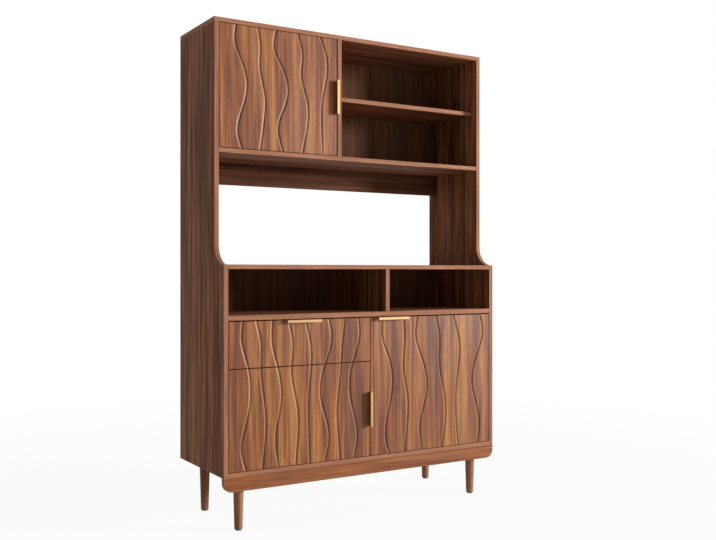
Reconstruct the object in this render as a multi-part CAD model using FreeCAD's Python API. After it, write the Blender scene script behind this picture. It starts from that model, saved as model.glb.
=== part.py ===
import FreeCAD, Part
import math
import os

# Kitchen dresser: a base cupboard with a drawer and carved fronts, an open niche, a hutch opening and
# an upper cabinet. Millimetres. X runs to the right, Y to the back and Z up. The origin lies on the floor
# under the middle of the whole piece, pulls included.

# Whole piece
width = 1200.0
depth = 400.0
height = 1800.0

# Boards
side_thickness = 18.0
board_thickness = 16.0
deck_thickness = 18.0
divider_thickness = 18.0
front_thickness = 18.0
back_thickness = 3.0

# Clear heights and clear widths of the bays
leg_height = 197.0
base_bay_height = 524.0
niche_height = 160.0
upper_bay_height = 442.0
niche_left_bay = 653.0
upper_left_bay = 488.0

# Steps and setbacks of the carcass
upper_setback = 80.0
cove_step = 5.0
rail_height = 83.0
open_shelf_setback = 35.0
closed_shelf_setback = 40.0
shelf_side_play = 1.0
open_shelf_rise = 216.0
upper_closed_shelf_rise = 216.0
lower_closed_shelf_rise = 250.0

# Back sheets, held in grooves
back_inset = 8.0
groove_depth = 5.0
groove_play = 0.3
back_hem = 4.0

# Apron under the front
apron_height = 50.0
apron_thickness = 16.0
apron_corner_radius = 32.0

# Gaps round the inset fronts
front_gap = 2.0
seam_gap = 3.0
pull_gap = 4.0
front_stop_gap = 4.0
drawer_front_height = 162.0

# Carved waves
groove_width = 13.5
groove_cut_depth = 2.8

# Bevel along the front edges of boards and fronts
arris = 0.8

# Edge pulls, bent from one strip
level_pull_length = 140.0
upright_pull_length = 128.0
pull_projection = 20.0
pull_strip = 1.5
pull_lip = 10.0
pull_flange = 20.0
pull_bend_radius = 2.0
right_pull_inset = 26.0

# Legs
leg_inset_x = 79.0
leg_inset_y = 50.0
leg_top_radius = 20.0
leg_foot_radius = 14.5
leg_foot_chamfer = 1.5
glide_radius = 11.0
glide_height = 3.0
plate_size = 60.0
plate_thickness = 2.5
plate_corner_radius = 8.0
stud_radius = 4.0
stud_length = 24.0

# Shelf pins
pin_radius = 2.5
pin_depth = 8.0
pin_projection = 8.0
pin_flat = 0.5
pin_inset = 45.0

# Concealed hinges
hinge_inset = 70.0
cup_radius = 17.5
cup_depth = 11.5
cup_wall = 1.0
cup_rim = 4.0
cup_flange_width = 26.0
cup_flange_height = 58.0
cup_flange_thickness = 1.2
cup_flange_radius = 6.0
hinge_play = 0.3
nose_offset = 19.0
nose_width = 12.0
arm_width = 15.0
arm_thickness = 6.0
arm_shoulder = 6.0
arm_crank = 16.0
arm_tail = 22.0
mount_line = 37.0
mount_plate_thickness = 2.0
mount_plate_height = 50.0
mount_plate_width = 18.0
mount_block_rise = 9.0
mount_block_height = 11.0
mount_block_length = 36.0

# Drawer box
drawer_board = 12.0
drawer_box_height = 120.0
drawer_box_lift = 11.0
drawer_bottom_thickness = 3.0
drawer_bottom_lift = 10.0
drawer_groove_depth = 6.0

# Telescopic runners
runner_thickness = 12.7
runner_height = 45.0
runner_length = 350.0
runner_setback = 1.0
runner_steel = 1.2
runner_strip = 3.0
runner_play = 0.2
runner_web_gap = 1.0

# How far cutting shapes run past what they cut
overrun = 5.0

# Wave lines, top to bottom: share of the front's width from its left edge, share of its height from its foot
upper_door_wave_shares = (
    ((0.13, 1.00), (0.12, 0.89), (0.18, 0.70), (0.22, 0.50), (0.16, 0.25), (0.145, 0.12), (0.18, 0.00)),
    ((0.31, 1.00), (0.33, 0.86), (0.325, 0.69), (0.37, 0.44), (0.36, 0.23), (0.33, 0.00)),
    ((0.46, 1.00), (0.445, 0.87), (0.52, 0.69), (0.56, 0.46), (0.48, 0.18), (0.52, 0.00)),
    ((0.65, 1.00), (0.69, 0.84), (0.68, 0.66), (0.735, 0.42), (0.735, 0.25), (0.69, 0.00)),
    ((0.85, 1.00), (0.90, 0.85), (0.91, 0.71), (0.87, 0.48), (0.86, 0.26), (0.87, 0.00)),
)
left_wave_shares = (
    ((0.09, 1.00), (0.08, 0.90), (0.12, 0.71), (0.14, 0.48), (0.10, 0.27), (0.08, 0.15), (0.11, 0.00)),
    ((0.18, 1.00), (0.21, 0.86), (0.21, 0.68), (0.24, 0.39), (0.24, 0.19), (0.22, 0.00)),
    ((0.29, 1.00), (0.285, 0.88), (0.32, 0.70), (0.35, 0.45), (0.31, 0.21), (0.33, 0.00)),
    ((0.40, 1.00), (0.43, 0.85), (0.42, 0.65), (0.465, 0.37), (0.465, 0.19), (0.45, 0.00)),
    ((0.52, 1.00), (0.56, 0.80), (0.55, 0.57), (0.54, 0.31), (0.55, 0.00)),
    ((0.69, 1.00), (0.71, 0.89), (0.66, 0.68), (0.625, 0.49), (0.675, 0.27), (0.69, 0.15), (0.66, 0.00)),
    ((0.81, 1.00), (0.785, 0.79), (0.77, 0.57), (0.75, 0.37), (0.76, 0.15), (0.77, 0.00)),
    ((0.91, 1.00), (0.92, 0.89), (0.865, 0.68), (0.845, 0.47), (0.89, 0.25), (0.90, 0.14), (0.875, 0.00)),
)
right_wave_shares = (
    ((0.09, 1.00), (0.09, 0.86), (0.15, 0.68), (0.17, 0.48), (0.12, 0.22), (0.12, 0.09), (0.145, 0.00)),
    ((0.26, 1.00), (0.27, 0.85), (0.26, 0.63), (0.295, 0.39), (0.29, 0.20), (0.27, 0.00)),
    ((0.375, 1.00), (0.36, 0.88), (0.41, 0.69), (0.455, 0.46), (0.395, 0.18), (0.41, 0.00)),
    ((0.53, 1.00), (0.56, 0.86), (0.56, 0.65), (0.61, 0.34), (0.605, 0.16), (0.58, 0.00)),
    ((0.68, 1.00), (0.735, 0.77), (0.72, 0.58), (0.70, 0.33), (0.72, 0.00)),
    ((0.915, 1.00), (0.94, 0.88), (0.88, 0.67), (0.845, 0.47), (0.90, 0.23), (0.91, 0.12), (0.89, 0.00)),
)

# Planes across
left_x = -width / 2
right_x = width / 2
inner_left_x = left_x + side_thickness
inner_right_x = right_x - side_thickness
niche_divider_x = inner_left_x + niche_left_bay
upper_divider_x = inner_left_x + upper_left_bay
base_divider_x = -divider_thickness / 2

# Planes in depth
front_y = (pull_projection - depth) / 2
back_y = front_y + depth
upper_front_y = front_y + upper_setback
sheet_back_y = back_y - back_inset
sheet_front_y = sheet_back_y - back_thickness
base_divider_y = front_y + front_thickness + front_stop_gap

# Levels
base_floor_z = leg_height + board_thickness
deck_z = base_floor_z + base_bay_height
niche_floor_z = deck_z + deck_thickness
counter_z = niche_floor_z + niche_height
counter_top_z = counter_z + board_thickness
roof_z = height - board_thickness
upper_floor_top_z = roof_z - upper_bay_height
upper_floor_z = upper_floor_top_z - board_thickness
rail_z = upper_floor_z - rail_height

# Outlines of the fronts: left, right, foot, top
fronts_foot_z = base_floor_z + front_gap
fronts_top_z = deck_z - pull_gap
drawer_foot_z = fronts_top_z - drawer_front_height
left_door_top_z = drawer_foot_z - seam_gap
left_front_x0 = inner_left_x + front_gap
left_front_x1 = -seam_gap / 2
right_front_x0 = seam_gap / 2
right_front_x1 = inner_right_x - front_gap
upper_door_x0 = inner_left_x + front_gap
upper_door_x1 = upper_divider_x - pull_gap
upper_door_z0 = upper_floor_top_z + front_gap
upper_door_z1 = roof_z - front_gap

# Shelf levels: undersides
open_shelf_z = upper_floor_top_z + open_shelf_rise
upper_closed_shelf_z = upper_floor_top_z + upper_closed_shelf_rise
lower_closed_shelf_z = base_floor_z + lower_closed_shelf_rise

# Drawer box and runner places
box_x0 = inner_left_x + runner_thickness
box_x1 = base_divider_x - runner_thickness
box_y0 = front_y + front_thickness
box_y1 = box_y0 + runner_setback + runner_length
box_z0 = drawer_foot_z + drawer_box_lift
box_z1 = box_z0 + drawer_box_height
runner_y = box_y0 + runner_setback
runner_z = (box_z0 + box_z1) / 2


def vector(x, y, z):
    return FreeCAD.Vector(x, y, z)


along_x = vector(1, 0, 0)
along_y = vector(0, 1, 0)
along_z = vector(0, 0, 1)


def box(x0, x1, y0, y1, z0, z1):
    return Part.makeBox(x1 - x0, y1 - y0, z1 - z0, vector(x0, y0, z0))


def prism(points, run):
    """A closed outline of straight sides, extruded."""
    return Part.Face(Part.makePolygon(points + points[:1])).extrude(run)


def runs_along(edge, axis):
    return abs(edge.tangentAt(edge.FirstParameter).dot(axis)) > math.cos(math.pi / 4)


def rounded_plate(x_size, y_size, thickness, radius):
    """A flat plate on the XY plane, centred, with its corners rounded."""
    plate = box(-x_size / 2, x_size / 2, -y_size / 2, y_size / 2, 0, thickness)
    return plate.makeFillet(radius, [edge for edge in plate.Edges if runs_along(edge, along_z)])


def moved(shape, x, y, z):
    result = shape.copy()
    result.translate(vector(x, y, z))
    return result


def turned(shape, axis, degrees):
    result = shape.copy()
    result.rotate(vector(0, 0, 0), axis, degrees)
    return result


def mirrored(shape):
    return shape.mirror(vector(0, 0, 0), along_x)


def edges_in_front(board):
    return [edge for edge in board.Edges if edge.BoundBox.YMax < board.BoundBox.YMin + arris]


def eased(board):
    """Takes the sharp arris off all edges of a board's front."""
    return board.makeChamfer(arris, edges_in_front(board))


def eased_lengthwise(board):
    """For a board between two others: only its long front edges are eased, and its ends stay square."""
    edges = edges_in_front(board)
    longest = max(edge.Length for edge in edges)
    return board.makeChamfer(arris, [edge for edge in edges if edge.Length > longest / 2])


# Carcass


def sheet_groove(x0, x1, z0, z1):
    """The slot that takes the edge of a back sheet."""
    play = groove_play / 2
    return box(x0, x1, sheet_front_y - play, sheet_back_y + play, z0, z1)


def side_outline(x):
    """One end panel from the side: deep at the base, a quarter-round cove, then the shallower upper part."""
    cove_radius = upper_setback - cove_step
    step_y = front_y + cove_step
    lean = cove_radius * math.sin(math.pi / 4)
    cove_foot = vector(x, step_y, counter_top_z)
    cove_middle = vector(x, step_y + lean, counter_top_z + cove_radius - lean)
    cove_head = vector(x, upper_front_y, counter_top_z + cove_radius)
    heel = vector(x, back_y, leg_height)
    base = [heel, vector(x, front_y, leg_height), vector(x, front_y, counter_top_z), cove_foot]
    upper = [cove_head, vector(x, upper_front_y, roof_z), vector(x, back_y, roof_z), heel]
    edges = [Part.LineSegment(a, b).toShape() for a, b in zip(base, base[1:])]
    edges.append(Part.Arc(cove_foot, cove_middle, cove_head).toShape())
    edges += [Part.LineSegment(a, b).toShape() for a, b in zip(upper, upper[1:])]
    return Part.Face(Part.Wire(edges))


def side_panel(outer_x, inner_x):
    """inner_x is the face that looks into the cabinet."""
    inward = 1 if inner_x > outer_x else -1
    panel = side_outline(outer_x).extrude(vector(inner_x - outer_x, 0, 0))
    front_edges = [edge for edge in panel.Edges
                   if edge.BoundBox.YMax < upper_front_y + arris and not runs_along(edge, along_x)
                   and edge.BoundBox.ZMax > leg_height + arris]
    panel = panel.makeChamfer(arris, front_edges)
    slot = sorted((inner_x - inward * groove_depth, inner_x + inward * overrun))
    lower = sheet_groove(slot[0], slot[1], leg_height - overrun, counter_z + groove_depth)
    upper = sheet_groove(slot[0], slot[1], rail_z + back_hem, roof_z + overrun)
    return panel.cut([lower, upper])


def carcass_board(x0, x1, y0, z0, thickness):
    """A board that runs back to the face of the back sheet."""
    return eased_lengthwise(box(x0, x1, y0, sheet_front_y, z0, z0 + thickness))


def top_panel():
    board = eased(box(left_x, right_x, upper_front_y, back_y, roof_z, height))
    return board.cut(sheet_groove(inner_left_x - groove_depth, inner_right_x + groove_depth,
                                  roof_z - overrun, roof_z + groove_depth))


def counter_top():
    board = eased_lengthwise(box(inner_left_x, inner_right_x, front_y, back_y, counter_z, counter_top_z))
    return board.cut(sheet_groove(inner_left_x - overrun, inner_right_x + overrun,
                                  counter_z - overrun, counter_z + groove_depth))


def back_sheet(z0, z1):
    reach = groove_depth - groove_play
    return box(inner_left_x - reach, inner_right_x + reach, sheet_front_y, sheet_back_y, z0, z1)


def apron():
    """Front plinth board, as wide as the whole piece, with its two lower corners rounded."""
    board = box(left_x, right_x, front_y, front_y + apron_thickness, leg_height - apron_height, leg_height)
    corners = [edge for edge in board.Edges
               if runs_along(edge, along_y) and edge.CenterOfMass.z < leg_height - apron_height / 2]
    return eased(board.makeFillet(apron_corner_radius, corners))


def shelf(x0, x1, y0, z0):
    return carcass_board(x0 + shelf_side_play, x1 - shelf_side_play, y0, z0, board_thickness)


# Shelf pins


def shelf_pin(face_x, inward, y, shelf_z):
    """A round pin let into a wall, its free half milled flat under the shelf. Gives the pin and its bore."""
    centre_z = shelf_z - pin_radius + pin_flat
    start = vector(face_x - inward * pin_depth, y, centre_z)
    pin = Part.makeCylinder(pin_radius, pin_depth + pin_projection, start, along_x * inward)
    ends = sorted((face_x, face_x + inward * (pin_projection + overrun)))
    flat = box(ends[0], ends[1], y - 2 * pin_radius, y + 2 * pin_radius, shelf_z, shelf_z + 2 * pin_radius)
    bore = Part.makeCylinder(pin_radius, pin_depth + overrun, start, along_x * inward)
    return pin.cut(flat), bore


def pins_under(x0, x1, y0, shelf_z):
    """Four pins: pairs near the front and the back of both walls of a bay."""
    pairs = [shelf_pin(face_x, inward, y, shelf_z)
             for face_x, inward in ((x0, 1), (x1, -1))
             for y in (y0 + pin_inset, sheet_front_y - pin_inset)]
    return [pin for pin, bore in pairs], [bore for pin, bore in pairs]


# Legs


def leg():
    """Turned and tapered, standing on the XY plane at the origin on its glide."""
    top_z = leg_height - plate_thickness
    outline = [
        vector(0, 0, glide_height),
        vector(leg_foot_radius - leg_foot_chamfer, 0, glide_height),
        vector(leg_foot_radius, 0, glide_height + leg_foot_chamfer),
        vector(leg_top_radius, 0, top_z),
        vector(stud_radius, 0, top_z),
        vector(stud_radius, 0, top_z - stud_length),
        vector(0, 0, top_z - stud_length),
    ]
    profile = Part.Face(Part.makePolygon(outline + outline[:1]))
    return profile.revolve(vector(0, 0, 0), along_z, 360)


def leg_glide():
    return Part.makeCylinder(glide_radius, glide_height)


def leg_plate():
    """Steel plate against the bottom panel, with the stud that the leg screws on to."""
    plate_z = leg_height - plate_thickness
    plate = moved(rounded_plate(plate_size, plate_size, plate_thickness, plate_corner_radius), 0, 0, plate_z)
    stud = Part.makeCylinder(stud_radius, stud_length, vector(0, 0, plate_z - stud_length))
    return plate.fuse(stud)


def leg_places():
    """Centre of each leg on the floor, by its name."""
    across = {"left": left_x + leg_inset_x, "right": right_x - leg_inset_x}
    along = {"front": front_y + leg_inset_y, "back": back_y - leg_inset_y}
    return {f"leg_{row}_{side}": (across[side], along[row]) for row in along for side in across}


# Carved fronts


def wave_cutter(shares, x0, x1, z0, z1, face_y):
    """A shallow V groove, of one width all along, that follows a smooth line down the front."""
    line = [vector(x0 + across * (x1 - x0), face_y, z0 + up * (z1 - z0)) for across, up in shares]
    head = line[0] + (line[0] - line[1]).normalize() * overrun
    foot = line[-1] + (line[-1] - line[-2]).normalize() * overrun
    spine = Part.BSplineCurve()
    spine.interpolate([head] + line + [foot])
    mouth = groove_width / 2 * (1 + overrun / groove_cut_depth)
    section = Part.makePolygon([
        vector(head.x - mouth, face_y - overrun, head.z),
        vector(head.x + mouth, face_y - overrun, head.z),
        vector(head.x, face_y + groove_cut_depth, head.z),
        vector(head.x - mouth, face_y - overrun, head.z),
    ])
    pipe = Part.BRepOffsetAPI.MakePipeShell(Part.Wire(spine.toShape()))
    pipe.setBiNormalMode(along_y)
    pipe.add(section)
    pipe.build()
    pipe.makeSolid()
    return pipe.shape()


def carved_front(x0, x1, face_y, z0, z1, cutters):
    board = eased(box(x0, x1, face_y, face_y + front_thickness, z0, z1))
    return board.cut(cutters)


# Edge pulls


def pull(length):
    """Bent strip over a front's top edge: flange behind, leg across the edge, lip turned down in front.
    The origin is the middle of the front's top edge, in the plane of its face."""
    lip_y = -pull_projection
    flange_y = front_thickness + pull_strip
    outline = [
        (lip_y, pull_strip),
        (lip_y, pull_strip - pull_lip),
        (lip_y + pull_strip, pull_strip - pull_lip),
        (lip_y + pull_strip, 0),
        (front_thickness, 0),
        (front_thickness, -pull_flange),
        (flange_y, -pull_flange),
        (flange_y, pull_strip),
    ]
    strip = prism([vector(-length / 2, y, z) for y, z in outline], along_x * length)
    bends = [edge for edge in strip.Edges
             if runs_along(edge, along_x) and edge.CenterOfMass.z > pull_strip / 2]
    return strip.makeFillet(pull_bend_radius, bends)


def pull_on_top_edge(x, face_y, z):
    return moved(pull(level_pull_length), x, face_y, z)


def pull_on_right_edge(x, face_y, z):
    return moved(turned(pull(upright_pull_length), along_y, 90), x, face_y, z)


# Concealed hinges, in a frame whose origin lies where the wall meets the plane of the front, with X away
# from the wall


def cup_floor():
    """Middle of the cup's floor: where its bore in the door ends."""
    return vector(front_gap + cup_rim + cup_radius, front_thickness - cup_depth, 0)


def hinge_cup():
    floor = cup_floor()
    shell = Part.makeCylinder(cup_radius, cup_depth, floor, along_y)
    flange = rounded_plate(cup_flange_width, cup_flange_height, cup_flange_thickness, cup_flange_radius)
    flange = moved(turned(flange, along_x, -90), floor.x, front_thickness, 0)
    hollow = Part.makeCylinder(cup_radius - cup_wall, cup_depth + overrun, floor + along_y * cup_wall,
                               along_y)
    return shell.fuse(flange).cut(hollow)


def cup_bore():
    return Part.makeCylinder(cup_radius, cup_depth + overrun, cup_floor(), along_y)


def hinge_arm():
    """Fully cranked arm: its nose reaches into the cup and its tail lies on the mounting block."""
    nose_x = front_gap + nose_offset
    nose_y = front_thickness - cup_depth + cup_wall + hinge_play
    low_x = mount_plate_thickness + mount_block_rise
    shoulder_y = front_thickness + arm_shoulder
    crank_y = shoulder_y + arm_crank
    tail_y = front_thickness + mount_line + arm_tail
    outline = [
        (nose_x, nose_y),
        (nose_x + nose_width, nose_y),
        (nose_x + nose_width, shoulder_y + arm_thickness),
        (low_x + arm_thickness, crank_y + arm_thickness),
        (low_x + arm_thickness, tail_y),
        (low_x, tail_y),
        (low_x, crank_y),
        (nose_x, shoulder_y),
    ]
    return prism([vector(x, y, -arm_width / 2) for x, y in outline], along_z * arm_width)


def hinge_mount():
    """Winged plate on the wall with the block that carries the arm."""
    line_y = front_thickness + mount_line
    plate = rounded_plate(mount_plate_height, mount_plate_width, mount_plate_thickness, mount_plate_thickness)
    plate = moved(turned(plate, along_y, 90), 0, line_y, 0)
    block = box(mount_plate_thickness, mount_plate_thickness + mount_block_rise,
                line_y - mount_block_length / 2, line_y + mount_block_length / 2,
                -mount_block_height / 2, mount_block_height / 2)
    return plate.fuse(block)


def hinge_levels(z0, z1):
    return (z0 + hinge_inset, z1 - hinge_inset)


def hung_left(shape, face_y, levels):
    return [moved(shape, inner_left_x, face_y, z) for z in levels]


def hung_right(shape, face_y, levels):
    return [moved(mirrored(shape), inner_right_x, face_y, z) for z in levels]


# Drawer


def drawer_side(x0, groove_x0):
    side = box(x0, x0 + drawer_board, box_y0, box_y1, box_z0, box_z1)
    return side.cut(drawer_bottom_slot(groove_x0, groove_x0 + drawer_groove_depth))


def drawer_bottom_slot(x0, x1):
    z0 = box_z0 + drawer_bottom_lift
    return box(x0, x1, box_y0 - overrun, box_y1 + overrun, z0, z0 + drawer_bottom_thickness)


def drawer_end(y0):
    """Inner front or back of the box, standing on the bottom sheet's level or slotted for it."""
    end = box(box_x0 + drawer_board, box_x1 - drawer_board, y0, y0 + drawer_board, box_z0, box_z1)
    z0 = box_z0 + drawer_bottom_lift
    slot_y = y0 + drawer_board - drawer_groove_depth if y0 == box_y0 else y0 - overrun
    slot_reach = slot_y + drawer_groove_depth + overrun if y0 == box_y0 else y0 + drawer_groove_depth
    return end.cut(box(box_x0, box_x1, slot_y, slot_reach, z0, z0 + drawer_bottom_thickness))


def drawer_bottom():
    reach = drawer_board - drawer_groove_depth
    z0 = box_z0 + drawer_bottom_lift
    return box(box_x0 + reach, box_x1 - reach, box_y0 + reach, box_y1 - reach,
               z0, z0 + drawer_bottom_thickness)


# Telescopic runners, section in a frame whose X runs from the wall towards the drawer


def channel(web_x, lip_x, half_height):
    """A steel channel along Y: an upright web at web_x and two flanges reaching to lip_x."""
    way = math.copysign(1, lip_x - web_x)
    outside = sorted((web_x, lip_x))
    inside = sorted((web_x + way * runner_steel, lip_x + way * overrun))
    outer = box(outside[0], outside[1], 0, runner_length, -half_height, half_height)
    hollow = box(inside[0], inside[1], -overrun, runner_length + overrun,
                 runner_steel - half_height, half_height - runner_steel)
    return outer.cut(hollow)


def runner_parts():
    """Cabinet, middle and drawer members; the middle one carries the bearing strips that ride between the
    flanges."""
    outer_half = runner_height / 2
    middle_half = outer_half - runner_steel - runner_strip - runner_play
    inner_half = middle_half - runner_steel - runner_strip - runner_play
    middle_x = runner_steel + runner_web_gap
    lip_x = runner_thickness - runner_steel - runner_web_gap
    cabinet = channel(0, lip_x, outer_half)
    middle = channel(middle_x, lip_x, middle_half)
    drawer = channel(runner_thickness, middle_x + runner_steel + runner_web_gap, inner_half)
    strips = []
    for sign in (-1, 1):
        for face in (middle_half, middle_half - runner_steel - runner_strip):
            z = sorted((sign * face, sign * (face + runner_strip)))
            strips.append(box(middle_x + runner_steel + runner_web_gap, lip_x, 0, runner_length, z[0], z[1]))
    return cabinet, middle.fuse(strips), drawer


def on_left_wall(shape):
    return moved(shape, inner_left_x, runner_y, runner_z)


def on_divider(shape):
    return moved(mirrored(shape), base_divider_x, runner_y, runner_z)


def shelf_bays():
    """Each shelf's bay by the shelf's name: left wall, right wall, the shelf's front and its underside."""
    return {
        "open_shelf": (upper_divider_x + divider_thickness, inner_right_x,
                       upper_front_y + open_shelf_setback, open_shelf_z),
        "upper_cupboard_shelf": (inner_left_x, upper_divider_x,
                                 upper_front_y + closed_shelf_setback, upper_closed_shelf_z),
        "right_cupboard_shelf": (base_divider_x + divider_thickness, inner_right_x,
                                 front_y + closed_shelf_setback, lower_closed_shelf_z),
    }


def upright_nodes(bores):
    """The end panels and dividers, with the bores of the shelf pins."""
    upper_divider = carcass_board(upper_divider_x, upper_divider_x + divider_thickness, upper_front_y,
                                  upper_floor_top_z, upper_bay_height)
    base_divider = carcass_board(base_divider_x, base_divider_x + divider_thickness, base_divider_y,
                                 base_floor_z, base_bay_height)
    return {
        "side_panel_left": side_panel(left_x, inner_left_x).cut(bores),
        "side_panel_right": side_panel(right_x, inner_right_x).cut(bores),
        "upper_divider": upper_divider.cut(bores),
        "niche_divider": carcass_board(niche_divider_x, niche_divider_x + divider_thickness, front_y,
                                       niche_floor_z, niche_height),
        "base_divider": base_divider.cut(bores),
    }


def level_nodes():
    """The boards and sheets that the uprights carry."""
    return {
        "top_panel": top_panel(),
        "upper_floor": carcass_board(inner_left_x, inner_right_x, upper_front_y, upper_floor_z,
                                     board_thickness),
        "hutch_back_rail": box(inner_left_x, inner_right_x, sheet_front_y - board_thickness, sheet_front_y,
                               rail_z, upper_floor_z),
        "counter_top": counter_top(),
        "deck_panel": carcass_board(inner_left_x, inner_right_x, front_y, deck_z, deck_thickness),
        "bottom_panel": carcass_board(inner_left_x, inner_right_x, front_y, leg_height, board_thickness),
        "apron": apron(),
        "upper_back_panel": back_sheet(rail_z + back_hem, roof_z + groove_depth - groove_play),
        "lower_back_panel": back_sheet(leg_height, counter_z + groove_depth - groove_play),
    }


def carcass_nodes():
    bays = shelf_bays()
    nodes = {name: shelf(*bay) for name, bay in bays.items()}
    pins = []
    bores = []
    for bay in bays.values():
        bay_pins, bay_bores = pins_under(*bay)
        pins += bay_pins
        bores += bay_bores
    nodes.update(upright_nodes(bores))
    nodes.update(level_nodes())
    nodes["shelf_pins"] = pins
    return nodes


def leg_nodes():
    nodes = {name: moved(leg(), x, y, 0) for name, (x, y) in leg_places().items()}
    nodes["leg_plates"] = [moved(leg_plate(), x, y, 0) for x, y in leg_places().values()]
    nodes["leg_glides"] = [moved(leg_glide(), x, y, 0) for x, y in leg_places().values()]
    return nodes


def door_nodes(name, x0, x1, face_y, z0, z1, cutters, hung, door_pull):
    """One hinged door with its pull and its hinges' cups, arms and mounting plates."""
    levels = hinge_levels(z0, z1)
    return {
        name: carved_front(x0, x1, face_y, z0, z1, cutters).cut(hung(cup_bore(), face_y, levels)),
        name + "_pull": door_pull,
        name + "_hinge_cups": hung(hinge_cup(), face_y, levels),
        name + "_hinge_arms": hung(hinge_arm(), face_y, levels),
        name + "_hinge_mounts": hung(hinge_mount(), face_y, levels),
    }


def drawer_nodes(cutters):
    middle_x = (left_front_x0 + left_front_x1) / 2
    cabinet, middle, drawer = runner_parts()
    return {
        "drawer_front": carved_front(left_front_x0, left_front_x1, front_y, drawer_foot_z, fronts_top_z,
                                     cutters),
        "drawer_pull": pull_on_top_edge(middle_x, front_y, fronts_top_z),
        "drawer_side_left": drawer_side(box_x0, box_x0 + drawer_board - drawer_groove_depth),
        "drawer_side_right": drawer_side(box_x1 - drawer_board, box_x1 - drawer_board),
        "drawer_inner_front": drawer_end(box_y0),
        "drawer_back": drawer_end(box_y1 - drawer_board),
        "drawer_bottom": drawer_bottom(),
        "runner_cabinet_left": on_left_wall(cabinet),
        "runner_cabinet_right": on_divider(cabinet),
        "runner_middle_left": on_left_wall(middle),
        "runner_middle_right": on_divider(middle),
        "runner_drawer_left": on_left_wall(drawer),
        "runner_drawer_right": on_divider(drawer),
    }


def wave_cutters(lines, x0, x1, z0, z1, face_y):
    return [wave_cutter(shares, x0, x1, z0, z1, face_y) for shares in lines]


def upper_door_nodes():
    cutters = wave_cutters(upper_door_wave_shares, upper_door_x0, upper_door_x1,
                           upper_door_z0, upper_door_z1, upper_front_y)
    door_pull = pull_on_right_edge(upper_door_x1, upper_front_y, (upper_door_z0 + upper_door_z1) / 2)
    return door_nodes("upper_door", upper_door_x0, upper_door_x1, upper_front_y,
                      upper_door_z0, upper_door_z1, cutters, hung_left, door_pull)


def left_front_nodes():
    """The drawer and the door under it: the waves run on from one to the other."""
    cutters = wave_cutters(left_wave_shares, left_front_x0, left_front_x1,
                           fronts_foot_z, fronts_top_z, front_y)
    door_pull = pull_on_right_edge(left_front_x1, front_y, (fronts_foot_z + left_door_top_z) / 2)
    nodes = door_nodes("lower_left_door", left_front_x0, left_front_x1, front_y,
                       fronts_foot_z, left_door_top_z, cutters, hung_left, door_pull)
    nodes.update(drawer_nodes(cutters))
    return nodes


def right_door_nodes():
    cutters = wave_cutters(right_wave_shares, right_front_x0, right_front_x1,
                           fronts_foot_z, fronts_top_z, front_y)
    pull_x = right_front_x0 + right_pull_inset + level_pull_length / 2
    door_pull = pull_on_top_edge(pull_x, front_y, fronts_top_z)
    return door_nodes("lower_right_door", right_front_x0, right_front_x1, front_y,
                      fronts_foot_z, fronts_top_z, cutters, hung_right, door_pull)


def main():
    os.makedirs("parts", exist_ok=True)
    nodes = carcass_nodes()
    for group in (leg_nodes(), upper_door_nodes(), left_front_nodes(), right_door_nodes()):
        nodes.update(group)
    for name, shape in nodes.items():
        pieces = shape if isinstance(shape, list) else [shape]
        solids = [solid for piece in pieces for solid in piece.Solids]
        whole = solids[0] if len(solids) == 1 else Part.makeCompound(solids)
        whole.exportStep(f"parts/{name}.step")
        state = "valid" if whole.isValid() else "NOT VALID"
        print(name, len(solids), "solids,", state, round(whole.Volume))
    print(len(nodes), "nodes")


main()
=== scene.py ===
import math

import bmesh
import bpy
from mathutils import Matrix, Vector


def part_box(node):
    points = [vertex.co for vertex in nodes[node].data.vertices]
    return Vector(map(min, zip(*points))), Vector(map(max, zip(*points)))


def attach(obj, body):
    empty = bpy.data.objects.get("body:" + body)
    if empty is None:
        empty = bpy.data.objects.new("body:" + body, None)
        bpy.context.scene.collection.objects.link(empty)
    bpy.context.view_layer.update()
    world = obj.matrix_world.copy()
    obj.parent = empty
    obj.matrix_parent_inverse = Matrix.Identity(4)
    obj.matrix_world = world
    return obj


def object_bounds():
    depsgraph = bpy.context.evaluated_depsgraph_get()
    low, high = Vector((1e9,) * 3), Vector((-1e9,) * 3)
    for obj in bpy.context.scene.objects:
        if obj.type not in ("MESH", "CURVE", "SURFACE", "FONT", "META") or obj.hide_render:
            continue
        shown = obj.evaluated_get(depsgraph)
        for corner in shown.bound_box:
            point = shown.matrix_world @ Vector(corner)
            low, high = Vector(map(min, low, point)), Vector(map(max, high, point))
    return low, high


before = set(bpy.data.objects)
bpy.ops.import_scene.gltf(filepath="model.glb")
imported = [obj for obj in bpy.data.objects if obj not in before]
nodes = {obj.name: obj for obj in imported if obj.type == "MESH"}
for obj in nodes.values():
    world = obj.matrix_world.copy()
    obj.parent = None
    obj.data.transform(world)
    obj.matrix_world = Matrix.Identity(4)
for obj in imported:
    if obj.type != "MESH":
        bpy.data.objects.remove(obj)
cadLow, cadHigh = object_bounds()
print("frame loaded:", len(nodes), "solids")


# Studio: camera, lamps, background and floor, in metres, degrees and watts

studio = {
    "cameraPlace": (-1.8546, -2.9890, 0.9094),
    "cameraTilt": 90.0,
    "cameraTurn": -30.37,
    "lens": 44.88,
    "shiftX": 0.0517,
    "shiftY": 0.001,
    "target": (0.0, -0.15, 0.95),
    "keyFrom": (0.80, -0.58, 0.15),
    "keyDistance": 14.0,
    "keySize": 2.6,
    "keyWatts": 2250.0,
    "backFrom": (0.35, 1.0, 0.30),
    "backDistance": 6.0,
    "backSize": 3.0,
    "backWatts": 110.0,
    "roomLight": 0.285,
    "floorSize": 60.0,
    "floorNear": 1.4,
    "floorFar": 3.6,
    "whiteNear": 0.93,
    "floorColour": "#f3f1ee",
}
white = (1, 1, 1, 1)


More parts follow.
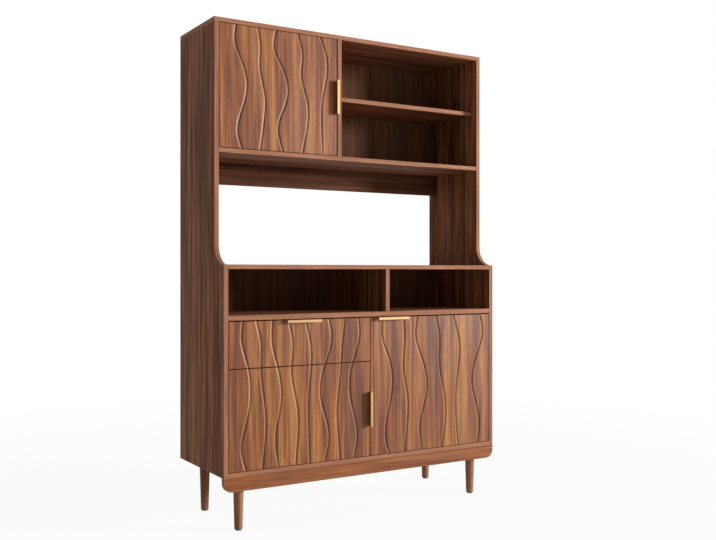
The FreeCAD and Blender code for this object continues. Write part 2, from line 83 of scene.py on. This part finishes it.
def linear(hexCode):
    # The screen's colour code as linear red, green and blue, with full opacity
    parts = [int(hexCode[i:i + 2], 16) / 255 for i in (1, 3, 5)]
    return [p / 12.92 if p <= 0.04045 else ((p + 0.055) / 1.055) ** 2.4 for p in parts] + [1.0]


def addNode(tree, kind, settings, inputs):
    node = tree.nodes.new("ShaderNode" + kind)
    for setting, value in settings.items():
        setattr(node, setting, value)
    for socket, value in inputs.items():
        if isinstance(value, bpy.types.NodeSocket):
            tree.links.new(value, node.inputs[socket])
        else:
            node.inputs[socket].default_value = value
    return node


def chained(tree, operation, *values):
    result = values[0]
    for value in values[1:]:
        result = addNode(tree, "Math", {"operation": operation}, {0: result, 1: value}).outputs[0]
    return result


def newMaterial(name):
    material = bpy.data.materials.new(name)
    material.use_nodes = True
    material.node_tree.nodes.clear()
    return material, material.node_tree


def addCamera():
    camera = bpy.data.objects.new("camera", bpy.data.cameras.new("camera"))
    bpy.context.scene.collection.objects.link(camera)
    camera.location = studio["cameraPlace"]
    camera.rotation_euler = (math.radians(studio["cameraTilt"]), 0, math.radians(studio["cameraTurn"]))
    camera.data.lens = studio["lens"]
    camera.data.shift_x = studio["shiftX"]
    camera.data.shift_y = studio["shiftY"]
    bpy.context.scene.camera = camera


def addLamp(name, direction, distance, size, watts):
    lamp = bpy.data.objects.new(name, bpy.data.lights.new(name, "AREA"))
    bpy.context.scene.collection.objects.link(lamp)
    toLamp = Vector(direction).normalized()
    lamp.location = Vector(studio["target"]) + toLamp * distance
    lamp.rotation_euler = toLamp.to_track_quat("Z", "Y").to_euler()
    lamp.data.size = size
    lamp.data.energy = watts
    lamp.visible_camera = False


def seenRays(tree):
    # 1 for rays that show the background: straight to the camera, or by way of a shiny or clear surface
    path = addNode(tree, "LightPath", {}, {})
    return chained(tree, "MAXIMUM", path.outputs["Is Camera Ray"], path.outputs["Is Glossy Ray"],
                   path.outputs["Is Transmission Ray"])


def addWorld():
    world = bpy.data.worlds.new("studio")
    bpy.context.scene.world = world
    world.use_nodes = True
    tree = world.node_tree
    tree.nodes.clear()
    lit = addNode(tree, "Background", {}, {"Color": white, "Strength": studio["roomLight"]})
    seen = addNode(tree, "Background", {}, {"Color": white, "Strength": 1.0})
    mixed = addNode(tree, "MixShader", {}, {0: seenRays(tree), 1: lit.outputs[0], 2: seen.outputs[0]})
    addNode(tree, "OutputWorld", {}, {"Surface": mixed.outputs[0]})


def addFloor():
    bpy.ops.mesh.primitive_plane_add(size=studio["floorSize"], location=(0, 0, cadLow.z))
    floor = bpy.context.object
    floor.name = "floor"
    # Pale matt paper sweep: keeps a soft shadow under the piece and fades to plain white away from it
    material, tree = newMaterial("paperSweep")
    place = addNode(tree, "TexCoord", {}, {})
    away = addNode(tree, "VectorMath", {"operation": "LENGTH"}, {0: place.outputs["Object"]})
    fade = addNode(tree, "MapRange", {"interpolation_type": "SMOOTHSTEP"},
                   {"Value": away.outputs["Value"], "From Min": studio["floorNear"],
                    "From Max": studio["floorFar"]})
    paper = addNode(tree, "BsdfDiffuse", {}, {"Color": linear(studio["floorColour"])})
    glow = addNode(tree, "Emission", {}, {"Color": white, "Strength": 1.0})
    nearWhite = addNode(tree, "MapRange", {},
                        {"Value": fade.outputs[0], "To Min": studio["whiteNear"], "To Max": 1.0})
    seen = chained(tree, "MULTIPLY", seenRays(tree), nearWhite.outputs[0])
    mixed = addNode(tree, "MixShader", {}, {0: seen, 1: paper.outputs[0], 2: glow.outputs[0]})
    addNode(tree, "OutputMaterial", {}, {"Surface": mixed.outputs[0]})
    floor.data.materials.append(material)


bpy.ops.object.select_all(action="DESELECT")
addCamera()
addLamp("keyLamp", studio["keyFrom"], studio["keyDistance"], studio["keySize"], studio["keyWatts"])
addLamp("backLamp", studio["backFrom"], studio["backDistance"], studio["backSize"], studio["backWatts"])
addWorld()
addFloor()
bpy.context.scene.view_settings.view_transform = "Standard"
print("studio ready")


# Walnut: sliced veneer laid in leaves side by side on boards, sanded, under a satin lacquer. Widths lie
# across the grain and lengths along it, in metres. Shades are shares of the tone

veneer = {
    "noiseLow": 0.3,
    "noiseHigh": 0.7,
    "noiseRoughness": 0.55,
    "leafWidth": 0.075,
    "leafShade": 0.12,
    "leafWander": 0.1,
    "leafBlend": 0.1,
    "leafLow": 0.1,
    "leafHigh": 0.9,
    "bandWidth": 0.034,
    "bandLength": 0.9,
    "bandShade": 0.30,
    "hueWidth": 0.048,
    "hueLength": 0.45,
    "leastMauve": -0.3,
    "mostMauve": 0.8,
    "ringWidth": 0.060,
    "ringLength": 0.75,
    "ringsInOne": 11.0,
    "ringShade": 0.10,
    "figureWidth": 0.013,
    "figureLength": 0.30,
    "figureShade": 0.27,
    "streakWidth": 0.0068,
    "streakLength": 0.24,
    "streakDarker": 0.20,
    "streakLighter": 0.15,
    "poreWidth": 0.0012,
    "poreLength": 0.016,
    "poreLow": 0.30,
    "poreHigh": 0.42,
    "poreShade": 0.80,
    "poreDepth": 0.00006,
    "poreStrength": 0.35,
    "flatFacing": 0.8,
}
satin = {
    "darkStreak": 0.73,
    "paleStreak": 1.20,
    "duller": 0.06,
    "shinier": 0.05,
    "ior": 1.5,
}
# Painted highlight and shade for the groove flanks of the fronts, picked by which way their normals lean
grooveLightPaint = {
    "flat": 0.1,
    "leaning": 0.3,
    "highlightShare": 0.13,
    "highlightTone": "#e0b896",
    "paintedShadeFactor": 0.70,
}
frontTones = {"golden": ("#713d22", "#874a27", "#98582c", "#a46632", "#b2773c"),
              "mauve": ("#663922", "#7b482a", "#8c5531", "#995f39", "#a56c43")}
carcassTones = {"golden": ("#5a3321", "#74472d", "#8a5738", "#9b6641", "#ad784e"),
                "mauve": ("#533024", "#6c4433", "#825241", "#93604b", "#a47158")}
railTones = {"golden": ("#7d452a", "#905432", "#9f6238", "#aa6d43"),
             "mauve": ("#74442e", "#865238", "#935d3f", "#a06b49")}
# The hutch rail's tones are darker than the rail tones: painted shade, for the shade that the upper cabinet
# casts on it
hutchRailShadedTones = {"golden": ("#4e2c1c", "#613a26", "#70462e", "#7d5136"),
                  "mauve": ("#4a2b20", "#5b382a", "#6a4533", "#774f3b")}
legTones = {"golden": ("#7e533c", "#94654a", "#a4775a", "#b58562"),
            "mauve": ("#764e40", "#8b6050", "#9d715c", "#ab7d67")}
backTones = {"golden": ("#553421", "#65402a", "#714b31", "#7b5639"),
             "mauve": ("#513226", "#603f30", "#6d4a39", "#785341")}
plainTones = {"golden": ("#573c2a", "#654632", "#70503a", "#7a5940"),
              "mauve": ("#523a30", "#604537", "#6c4f40", "#765947")}
levelEdge = "#a97559"
uprightEdge = "#a6725a"
brass = "#a5865f"
brassRoughness = 0.45

brushing = {
    "width": 0.0007,
    "length": 0.03,
    "detail": 3.0,
    "lineRoughness": 0.6,
    "lineLow": 0.25,
    "lineHigh": 0.75,
    "darkLine": 0.90,
    "paleLine": 1.06,
    "cloudScale": 35.0,
    "cloudDetail": 2.0,
    "cloudShare": 0.5,
    "handledLow": 0.4,
    "handledHigh": 1.1,
    "shinier": 0.06,
    "duller": 0.07,
    "depth": 0.00004,
    "strength": 0.25,
}
moulding = {
    "pebbleScale": 1400.0,
    "pebbleDetail": 2.0,
    "scuffScale": 120.0,
    "scuffDetail": 3.0,
    "scuffLow": 0.3,
    "scuffHigh": 0.7,
    "darkScuff": 0.85,
    "paleScuff": 1.3,
    "shiniest": 0.5,
    "dullest": 0.65,
    "depth": 0.00005,
    "strength": 0.3,
    "ior": 1.49,
}


def objectPlace(tree):
    return addNode(tree, "TexCoord", {}, {}).outputs["Object"]


def narrowFace(tree, thin):
    # 1 on the narrow faces of a board, which look away from the axis along its thickness
    place = addNode(tree, "TexCoord", {}, {})
    facing = addNode(tree, "SeparateXYZ", {}, {0: place.outputs["Normal"]})
    flat = addNode(tree, "Math", {"operation": "ABSOLUTE"}, {0: facing.outputs["XYZ".index(thin)]})
    return chained(tree, "LESS_THAN", flat.outputs[0], veneer["flatFacing"])


def grainPlace(tree, grain, thin=None):
    # Where a point lies across the grain and along it. On a board's narrow faces the strip runs on
    # round the board
    axes = addNode(tree, "SeparateXYZ", {}, {0: objectPlace(tree)})
    along = axes.outputs["XYZ".index(grain)]
    across = chained(tree, "ADD", *[axes.outputs["XYZ".index(axis)] for axis in "XYZ" if axis != grain])
    if thin:
        wide = next(axis for axis in "XYZ" if axis not in (grain, thin))
        turned = chained(tree, "MULTIPLY", axes.outputs["XYZ".index(wide)], narrowFace(tree, thin))
        across = chained(tree, "SUBTRACT", across, turned)
        along = chained(tree, "ADD", along, turned)
    return addNode(tree, "CombineXYZ", {}, {0: across, 1: along}).outputs[0]


def stretched(tree, place, width, length):
    return addNode(tree, "Mapping", {}, {"Vector": place, "Scale": (1 / width, 1 / length, 1)}).outputs[0]


def fitted(tree, value, lowIn, highIn, lowOut, highOut):
    return addNode(tree, "MapRange", {}, {"Value": value, "From Min": lowIn, "From Max": highIn,
                                          "To Min": lowOut, "To Max": highOut}).outputs[0]


def grainNoise(tree, place, size, lowOut, highOut, detail):
    # The values above hold each size's width across the grain and its length along it
    pattern = addNode(tree, "TexNoise", {"noise_dimensions": "2D"},
                      {"Vector": stretched(tree, place, veneer[size + "Width"], veneer[size + "Length"]),
                       "Scale": 1.0, "Detail": detail, "Roughness": veneer["noiseRoughness"]})
    return fitted(tree, pattern.outputs[0], veneer["noiseLow"], veneer["noiseHigh"], lowOut, highOut)


def leafTone(tree, place, strength):
    # Leaves of uneven width, each with its own tone; their seams wander a little along the board
    across = addNode(tree, "SeparateXYZ", {}, {0: stretched(tree, place, veneer["leafWidth"], 1.0)})
    wander = grainNoise(tree, place, "band", -veneer["leafWander"], veneer["leafWander"], detail=1.0)
    leaves = addNode(tree, "TexVoronoi", {"voronoi_dimensions": "1D", "feature": "SMOOTH_F1"},
                     {"W": chained(tree, "ADD", across.outputs[0], wander), "Scale": 1.0,
                      "Smoothness": veneer["leafBlend"]})
    shades = addNode(tree, "SeparateColor", {}, {0: leaves.outputs["Color"]})
    return fitted(tree, shades.outputs[0], veneer["leafLow"], veneer["leafHigh"], -strength, strength)


def growthRings(tree, place, depth):
    # Level lines of a long smooth figure: they lie nested, as the growth rings in a flat-cut board do
    hill = grainNoise(tree, place, "ring", 0.0, 2 * math.pi * veneer["ringsInOne"], detail=0.6)
    lines = addNode(tree, "Math", {"operation": "SINE"}, {0: hill})
    return fitted(tree, lines.outputs[0], -1.0, 1.0, 1 - depth, 1 + depth / 2)


def toneRamp(tree, tone, tones):
    ramp = addNode(tree, "ValToRGB", {}, {0: tone})
    stops = ramp.color_ramp.elements
    while len(stops) < len(tones):
        stops.new(0.5)
    for i, code in enumerate(tones):
        stops[i].position = i / (len(tones) - 1)
        stops[i].color = linear(code)
    return ramp.outputs[0]


def scaledColour(tree, colour, factor):
    return addNode(tree, "VectorMath", {"operation": "SCALE"}, {0: colour, "Scale": factor}).outputs[0]


def blended(tree, share, first, second):
    return addNode(tree, "Mix", {"data_type": "RGBA"}, {0: share, 6: first, 7: second}).outputs[2]


def paintedGrooveHighlightAndShade(tree, shown):
    # Painted highlight and shade on the grooves of the fronts: flanks that face right, towards the key
    # lamp, are blended towards a light tone, and flanks that face left are darkened
    place = addNode(tree, "TexCoord", {}, {})
    facing = addNode(tree, "SeparateXYZ", {}, {0: place.outputs["Normal"]}).outputs["X"]
    onFace = chained(tree, "SUBTRACT", 1.0, narrowFace(tree, "Y"))
    flat, leaning = grooveLightPaint["flat"], grooveLightPaint["leaning"]
    litFlank = chained(tree, "MULTIPLY", onFace, fitted(tree, facing, flat, leaning, 0.0, 1.0))
    shadedFlank = chained(tree, "MULTIPLY", onFace, fitted(tree, facing, -flat, -leaning, 0.0, 1.0))
    highlightShare = fitted(tree, litFlank, 0.0, 1.0, 0.0, grooveLightPaint["highlightShare"])
    highlighted = blended(tree, highlightShare, shown, linear(grooveLightPaint["highlightTone"]))
    return scaledColour(tree, highlighted, fitted(tree, shadedFlank, 0.0, 1.0, 1.0, grooveLightPaint["paintedShadeFactor"]))


def walnut(name, grain, tones, lacquer, gloss, thin=None, contrast=1.0, edge=None, paintGrooveLight=False):
    # grain is the axis that it runs along, thin the axis of a board's thickness, and lacquer the roughness
    material, tree = newMaterial(name)
    place = grainPlace(tree, grain, thin)
    leaves = leafTone(tree, place, veneer["leafShade"] * contrast)
    bandShade = veneer["bandShade"] * contrast
    bands = grainNoise(tree, place, "band", 0.5 - bandShade, 0.5 + bandShade, detail=2.0)
    figureShade = veneer["figureShade"] * contrast
    figure = grainNoise(tree, place, "figure", -figureShade, figureShade, detail=3.0)
    tone = chained(tree, "ADD", leaves, bands, figure)
    mauve = grainNoise(tree, place, "hue", veneer["leastMauve"], veneer["mostMauve"], detail=1.5)
    wood = blended(tree, mauve, toneRamp(tree, tone, tones["golden"]), toneRamp(tree, tone, tones["mauve"]))

    # Fine streaks and open pores, drawn a few times as coarse as real ones so that they show
    streaks = grainNoise(tree, place, "streak", 1 - veneer["streakDarker"] * contrast,
                         1 + veneer["streakLighter"] * contrast, detail=4.0)
    pores = addNode(tree, "TexNoise", {"noise_dimensions": "2D"},
                    {"Vector": stretched(tree, place, veneer["poreWidth"], veneer["poreLength"]),
                     "Scale": 1.0})
    poreTone = fitted(tree, pores.outputs[0], veneer["poreLow"], veneer["poreHigh"],
                      veneer["poreShade"], 1.0)
    rings = growthRings(tree, place, veneer["ringShade"] * contrast)
    shade = chained(tree, "MULTIPLY", streaks, poreTone, rings)
    shown = scaledColour(tree, wood, shade)
    # The fronts get painted highlight and shade on their groove flanks
    if paintGrooveLight:
        shown = paintedGrooveHighlightAndShade(tree, shown)

    # The narrow faces of the case's boards carry a plainer edging strip
    if edge:
        shown = blended(tree, narrowFace(tree, thin), shown, scaledColour(tree, linear(edge)[:3], shade))

    sheen = fitted(tree, streaks, satin["darkStreak"], satin["paleStreak"], lacquer + satin["duller"],
                   lacquer - satin["shinier"])
    openPores = addNode(tree, "Bump", {}, {"Height": poreTone, "Distance": veneer["poreDepth"],
                                           "Strength": veneer["poreStrength"]})
    surface = addNode(tree, "BsdfPrincipled", {}, {"Base Color": shown, "Roughness": sheen,
                                                   "Normal": openPores.outputs[0], "IOR": satin["ior"],
                                                   "Specular IOR Level": gloss})
    addNode(tree, "OutputMaterial", {}, {"Surface": surface.outputs[0]})
    return material


def metal(name, colour, roughness, brushed):
    # Brushing runs along one axis; its lines are drawn a few times too wide, so that they show
    material, tree = newMaterial(name)
    place = stretched(tree, grainPlace(tree, brushed), brushing["width"], brushing["length"])
    lines = addNode(tree, "TexNoise", {"noise_dimensions": "2D"},
                    {"Vector": place, "Scale": 1.0, "Detail": brushing["detail"],
                     "Roughness": brushing["lineRoughness"]}).outputs[0]
    cloud = addNode(tree, "TexNoise", {}, {"Vector": objectPlace(tree), "Scale": brushing["cloudScale"],
                                           "Detail": brushing["cloudDetail"]})
    lineTone = fitted(tree, lines, brushing["lineLow"], brushing["lineHigh"], brushing["darkLine"],
                      brushing["paleLine"])
    handled = addNode(tree, "Math", {"operation": "MULTIPLY_ADD"},
                      {0: cloud.outputs[0], 1: brushing["cloudShare"], 2: lines})
    sheen = fitted(tree, handled.outputs[0], brushing["handledLow"], brushing["handledHigh"],
                   roughness - brushing["shinier"], roughness + brushing["duller"])
    scratches = addNode(tree, "Bump", {}, {"Strength": brushing["strength"], "Distance": brushing["depth"],
                                           "Height": lines})
    shown = scaledColour(tree, linear(colour)[:3], lineTone)
    surface = addNode(tree, "BsdfPrincipled", {}, {"Base Color": shown, "Metallic": 1.0, "Roughness": sheen,
                                                   "Normal": scratches.outputs[0]})
    addNode(tree, "OutputMaterial", {}, {"Surface": surface.outputs[0]})
    return material


def mouldedPlastic(name, colour):
    # Moulded plastic foot: matt, with the fine pebble of an eroded mould
    material, tree = newMaterial(name)
    pebble = addNode(tree, "TexNoise", {}, {"Vector": objectPlace(tree), "Scale": moulding["pebbleScale"],
                                            "Detail": moulding["pebbleDetail"]})
    scuff = addNode(tree, "TexNoise", {}, {"Vector": objectPlace(tree), "Scale": moulding["scuffScale"],
                                           "Detail": moulding["scuffDetail"]}).outputs[0]
    scuffTone = fitted(tree, scuff, moulding["scuffLow"], moulding["scuffHigh"], moulding["darkScuff"],
                       moulding["paleScuff"])
    sheen = fitted(tree, scuff, moulding["scuffLow"], moulding["scuffHigh"], moulding["shiniest"],
                   moulding["dullest"])
    grain = addNode(tree, "Bump", {}, {"Strength": moulding["strength"], "Distance": moulding["depth"],
                                       "Height": pebble.outputs[0]})
    shown = scaledColour(tree, linear(colour)[:3], scuffTone)
    surface = addNode(tree, "BsdfPrincipled", {}, {"Base Color": shown, "IOR": moulding["ior"],
                                                   "Normal": grain.outputs[0], "Roughness": sheen})
    addNode(tree, "OutputMaterial", {}, {"Surface": surface.outputs[0]})
    return material


frontVeneer = walnut("walnutVeneerFront", "Z", frontTones, lacquer=0.40, gloss=0.34, thin="Y",
                     contrast=1.35, paintGrooveLight=True)
uprightVeneer = walnut("walnutVeneerUpright", "Z", carcassTones, lacquer=0.6, gloss=0.08, thin="X",
                       contrast=1.35, edge=uprightEdge)
levelVeneer = walnut("walnutVeneerLevel", "X", carcassTones, lacquer=0.6, gloss=0.08, thin="Z",
                     edge=levelEdge)
apronVeneer = walnut("walnutVeneerApron", "X", railTones, lacquer=0.5, gloss=0.15, thin="Y")
# Painted shade: the hutch rail gets the darkened tones
hutchRailShadedVeneer = walnut("walnutVeneerHutchRailPaintedShade", "X", hutchRailShadedTones, lacquer=0.6, gloss=0.08, thin="Y")
backVeneer = walnut("walnutPrintedBackSheet", "Z", backTones, lacquer=0.65, gloss=0.08, thin="Y",
                    contrast=0.8)
legWalnut = walnut("turnedWalnutLeg", "Z", legTones, lacquer=0.5, gloss=0.08)
drawerSideLaminate = walnut("walnutLaminateDrawerSide", "Y", plainTones, lacquer=0.55, gloss=0.15,
                            thin="X", contrast=0.8)
drawerEndLaminate = walnut("walnutLaminateDrawerEnd", "X", plainTones, lacquer=0.55, gloss=0.15,
                           thin="Y", contrast=0.8)
brassAcross = metal("brushedBrassAcross", brass, brassRoughness, brushed="X")
brassUpright = metal("brushedBrassUpright", brass, brassRoughness, brushed="Z")
nickel = metal("nickelPlatedSteel", "#cfccc6", roughness=0.24, brushed="Z")
zinc = metal("zincPlatedSteel", "#b4b8bc", roughness=0.36, brushed="Y")
blackPlastic = mouldedPlastic("mouldedPlasticGlide", "#262524")
print("finishes ready")


# Finishes on the solids that stay as they are

doors = ("upper_door", "lower_left_door", "lower_right_door")
finishes = {
    frontVeneer: [*doors, "drawer_front"],
    uprightVeneer: ["side_panel_left", "side_panel_right", "upper_divider", "niche_divider",
                    "base_divider"],
    levelVeneer: ["top_panel", "upper_floor", "open_shelf", "upper_cupboard_shelf", "counter_top",
                  "deck_panel", "bottom_panel", "right_cupboard_shelf"],
    apronVeneer: ["apron"],
    hutchRailShadedVeneer: ["hutch_back_rail"],
    backVeneer: ["upper_back_panel", "lower_back_panel"],
    legWalnut: ["leg_front_left", "leg_front_right", "leg_back_left", "leg_back_right"],
    drawerSideLaminate: ["drawer_side_left", "drawer_side_right", "drawer_bottom"],
    drawerEndLaminate: ["drawer_inner_front", "drawer_back"],
    brassAcross: ["drawer_pull", "lower_right_door_pull"],
    brassUpright: ["upper_door_pull", "lower_left_door_pull"],
    nickel: ["shelf_pins", *[door + "_hinge_" + piece for door in doors
                             for piece in ("arms", "mounts", "cups")]],
    zinc: ["leg_plates", "runner_cabinet_left", "runner_cabinet_right", "runner_middle_left",
           "runner_middle_right", "runner_drawer_left", "runner_drawer_right"],
    blackPlastic: ["leg_glides"],
}
for material, names in finishes.items():
    for name in names:
        for slot in nodes[name].material_slots:
            slot.material = material
print("finishes on", sum(len(names) for names in finishes.values()), "solids")


# Fasteners: modelled once, then laid out in one piece for each part that they hold, in metres and degrees

fastener = {
    "headRadius": 0.0034,
    "headHeight": 0.0013,
    "headSides": 20,
    "rimRounding": 0.0008,
    "rimSteps": 3,
    "smoothAngle": 40.0,
    "recessWidth": 0.0008,
    "recessReach": 0.0016,
    "recessDepth": 0.0008,
    "turnStep": 37.0,
    "pullSpacing": 0.096,
    "pullInset": 0.010,
    "plateSpacing": 0.042,
    "plateThickness": 0.0025,
    "cupSpacing": 0.047,
    "cupHalfHeight": 0.029,
    "mountSpacing": 0.034,
    "mountThickness": 0.002,
    "armFace": 0.017,
    "armSpots": (-0.008, 0.012),
    "boxInset": 0.060,
    "boxRise": 0.030,
}


def selectFaces(piece, test):
    # In edit mode: takes the faces whose normal passes the test
    mesh = bmesh.from_edit_mesh(piece.data)
    for face in mesh.faces:
        face.select_set(test(face.normal))
    bmesh.update_edit_mesh(piece.data)


def crossPeg():
    # A square peg whose four sides are drawn out into arms
    bpy.ops.mesh.primitive_cube_add(size=fastener["recessWidth"])
    peg = bpy.context.object
    bpy.ops.object.mode_set(mode="EDIT")
    bpy.ops.mesh.select_mode(type="FACE")
    bpy.ops.mesh.select_all(action="SELECT")
    bpy.ops.transform.resize(value=(1, 1, 2 * fastener["recessDepth"] / fastener["recessWidth"]),
                             center_override=(0, 0, 0))
    selectFaces(peg, lambda normal: abs(normal.z) < 0.5)
    bpy.ops.mesh.extrude_faces_move(TRANSFORM_OT_shrink_fatten={"value": fastener["recessReach"]})
    bpy.ops.mesh.select_all(action="SELECT")
    bpy.ops.mesh.normals_make_consistent(inside=False)
    bpy.ops.transform.translate(value=(0, 0, fastener["headHeight"]))
    bpy.ops.object.mode_set(mode="OBJECT")
    return peg


def panHead():
    # A disc with its upper rim rounded over and a cross recess, standing on the XY plane
    bpy.ops.mesh.primitive_cylinder_add(vertices=fastener["headSides"], radius=fastener["headRadius"],
                                        depth=fastener["headHeight"])
    head = bpy.context.object
    bpy.ops.object.mode_set(mode="EDIT")
    bpy.ops.mesh.select_mode(type="FACE")
    bpy.ops.mesh.select_all(action="SELECT")
    bpy.ops.transform.translate(value=(0, 0, fastener["headHeight"] / 2))
    selectFaces(head, lambda normal: normal.z > 0.9)
    bpy.ops.mesh.bevel(offset=fastener["rimRounding"], segments=fastener["rimSteps"], affect="EDGES")
    bpy.ops.object.mode_set(mode="OBJECT")
    peg = crossPeg()
    recess = head.modifiers.new("recess", "BOOLEAN")
    recess.operation = "DIFFERENCE"
    recess.object = peg
    bpy.context.view_layer.objects.active = head
    bpy.ops.object.modifier_apply(modifier="recess")
    bpy.data.objects.remove(peg)
    bpy.ops.object.select_all(action="DESELECT")
    head.select_set(True)
    bpy.ops.object.shade_smooth_by_angle(angle=math.radians(fastener["smoothAngle"]))
    return head


def laidOut(model, name, spots, body, material):
    # One piece of copies of a model. A spot is a place and the way that the model's top faces there
    copies = []
    for i, (place, facing) in enumerate(spots):
        turn = Vector((0, 0, 1)).rotation_difference(Vector(facing)).to_matrix().to_4x4()
        spin = Matrix.Rotation(math.radians(fastener["turnStep"] * i), 4, "Z")
        copy = bpy.data.objects.new(name, model.data.copy())
        bpy.context.scene.collection.objects.link(copy)
        copy.data.transform(Matrix.Translation(place) @ turn @ spin)
        copies.append(copy)
    bpy.ops.object.select_all(action="DESELECT")
    for copy in copies:
        copy.select_set(True)
    piece = copies[0]
    bpy.context.view_layer.objects.active = piece
    bpy.ops.object.join()
    piece.data.materials.clear()
    piece.data.materials.append(material)
    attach(piece, body)


def middleOf(node):
    nodeLow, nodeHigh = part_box(node)
    return (nodeLow + nodeHigh) / 2


def pullSpots(node, upright):
    # Behind the front, in the flange of the pull: two screws on its middle line
    pullLow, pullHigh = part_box(node)
    middle = middleOf(node)
    inset = fastener["pullInset"]
    steps = [side * fastener["pullSpacing"] / 2 for side in (-1, 1)]
    if upright:
        places = [(pullLow.x + inset, pullHigh.y, middle.z + step) for step in steps]
    else:
        places = [(middle.x + step, pullHigh.y, pullLow.z + inset) for step in steps]
    return [(place, (0, 1, 0)) for place in places]


def plateSpots():
    # Four screws in each leg plate, round the leg
    half = fastener["plateSpacing"] / 2
    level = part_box("leg_plates")[1].z - fastener["plateThickness"]
    legs = [middleOf(node) for node in nodes if node.startswith(("leg_front", "leg_back"))]
    return [((leg.x + across * half, leg.y + along * half, level), (0, 0, -1))
            for leg in legs for across in (-1, 1) for along in (-1, 1)]


def hingeLevels(door):
    cupLow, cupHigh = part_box(door + "_hinge_cups")
    return cupLow.z + fastener["cupHalfHeight"], cupHigh.z - fastener["cupHalfHeight"]


def cupSpots(door):
    half = fastener["cupSpacing"] / 2
    middle = middleOf(door + "_hinge_cups")
    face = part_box(door + "_hinge_cups")[1].y
    return [((middle.x, face, level + side * half), (0, 1, 0))
            for level in hingeLevels(door) for side in (-1, 1)]


def mountSpots(door):
    # Two screws in the wings of each mounting plate and two on its arm, all facing away from the wall
    mountLow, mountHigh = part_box(door + "_hinge_mounts")
    middle = middleOf(door + "_hinge_mounts")
    wall, inward = (mountLow.x, 1) if middle.x < 0 else (mountHigh.x, -1)
    plateFace = wall + inward * fastener["mountThickness"]
    armFace = wall + inward * fastener["armFace"]
    half = fastener["mountSpacing"] / 2
    places = []
    for level in hingeLevels(door):
        places += [(plateFace, middle.y, level + side * half) for side in (-1, 1)]
        places += [(armFace, middle.y + along, level) for along in fastener["armSpots"]]
    return [(place, (inward, 0, 0)) for place in places]


def boxSpots():
    # The drawer's front is screwed on from inside the box
    endLow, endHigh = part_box("drawer_inner_front")
    across = (endLow.x + fastener["boxInset"], endHigh.x - fastener["boxInset"])
    levels = (endLow.z + fastener["boxRise"], endHigh.z - fastener["boxRise"])
    return [((x, endHigh.y, z), (0, 1, 0)) for x in across for z in levels]


head = panHead()
laidOut(head, "drawer_pull_screws", pullSpots("drawer_pull", False), "drawer", zinc)
laidOut(head, "drawer_front_screws", boxSpots(), "drawer", zinc)
laidOut(head, "leg_plate_screws", plateSpots(), "carcass", zinc)
for door in doors:
    pullScrews = pullSpots(door + "_pull", door + "_pull" in finishes[brassUpright])
    laidOut(head, door + "_pull_screws", pullScrews, door, zinc)
    laidOut(head, door + "_cup_screws", cupSpots(door), door, nickel)
    laidOut(head, door + "_mount_screws", mountSpots(door), "carcass", nickel)
bpy.data.objects.remove(head)
print("fasteners ready")
